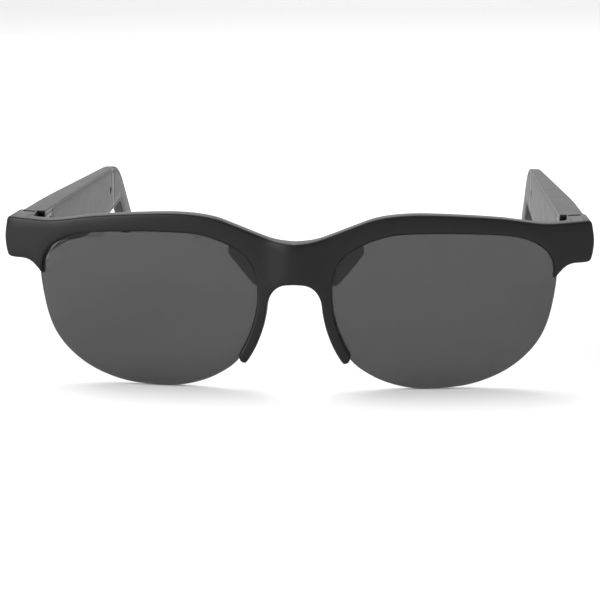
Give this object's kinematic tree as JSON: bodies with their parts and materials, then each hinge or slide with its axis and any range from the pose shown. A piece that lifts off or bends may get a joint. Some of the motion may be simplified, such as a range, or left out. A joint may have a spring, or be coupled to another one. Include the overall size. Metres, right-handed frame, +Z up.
{
  "type": "smart glasses",
  "caption": "Half-rim smart glasses with tinted lenses and thick folding temples that hold a battery, board, speaker, microphone and push button.",
  "frame": {"origin": "the underside of the bridge at its front face, midway between the lenses, where the glasses rest on the nose", "axes": "+X to the right of someone facing the front of the glasses, +Y back along the open temples, +Z up"},
  "size_m": [0.1464, 0.1646, 0.0434],
  "materials": {
    "frame_plastic": "satin black, fine moulded grain",
    "lens_tint": "polished grey tint",
    "pad_rubber": "soft silicone",
    "hinge_steel": "brushed",
    "screw_steel": "turned",
    "temple_plastic": "satin black, fine moulded grain",
    "cover_plastic": "satin black",
    "tip_plastic": "soft satin black",
    "battery_foil": "foil pouch",
    "board_green": "solder mask",
    "speaker_black": "moulded",
    "mesh_steel": "fine black mesh",
    "mic_brass": "plated can",
    "antenna_copper": "copper strip",
    "flex_amber": "polyimide film",
    "contact_gold": "gold plated",
    "button_plastic": "satin black",
    "switch_steel": "stamped"
  },
  "bodies": {
    "front": {"front_frame": "frame_plastic", "left_lens": "lens_tint", "right_lens": "lens_tint", "left_nose_pad": "pad_rubber", "right_nose_pad": "pad_rubber", "left_front_hinge": "hinge_steel", "right_front_hinge": "hinge_steel", "left_hinge_pin": "screw_steel", "right_hinge_pin": "screw_steel", "left_hinge_screws": "screw_steel", "right_hinge_screws": "screw_steel"},
    "left_temple": {"left_shell": "temple_plastic", "left_cover": "cover_plastic", "left_temple_hinge": "hinge_steel", "left_ear_tip": "tip_plastic", "left_tip_core": "screw_steel", "left_battery": "battery_foil", "left_board": "board_green", "left_speaker": "speaker_black", "left_speaker_mesh": "mesh_steel", "left_microphone": "mic_brass", "left_antenna": "antenna_copper", "left_flex_cable": "flex_amber", "left_charge_pads": "contact_gold", "left_cover_screws": "screw_steel", "left_switch": "switch_steel"},
    "left_button_cap": {"left_button": "button_plastic"},
    "right_temple": {"right_shell": "temple_plastic", "right_cover": "cover_plastic", "right_temple_hinge": "hinge_steel", "right_ear_tip": "tip_plastic", "right_tip_core": "screw_steel", "right_battery": "battery_foil", "right_board": "board_green", "right_speaker": "speaker_black", "right_speaker_mesh": "mesh_steel", "right_microphone": "mic_brass", "right_antenna": "antenna_copper", "right_flex_cable": "flex_amber", "right_charge_pads": "contact_gold", "right_cover_screws": "screw_steel", "right_switch": "switch_steel"},
    "right_button_cap": {"right_button": "button_plastic"}
  },
  "joints": [
    {"name": "right_temple_fold", "type": "hinge", "parent": "front", "child": "right_temple", "pos_m": [0.0664, 0.0224, 0.0085], "axis": [0, 0, 1], "range_deg": [0, 92]},
    {"name": "left_temple_fold", "type": "hinge", "parent": "front", "child": "left_temple", "pos_m": [-0.0664, 0.0224, 0.0085], "axis": [0, 0, -1], "range_deg": [0, 86]},
    {"name": "right_button_press", "type": "slide", "parent": "right_temple", "child": "right_button_cap", "axis": [0, 0, 1], "range_m": [0, 0.0005], "stiffness_N_per_m": 600},
    {"name": "left_button_press", "type": "slide", "parent": "left_temple", "child": "left_button_cap", "axis": [0, 0, 1], "range_m": [0, 0.0005], "stiffness_N_per_m": 600}
  ]
}
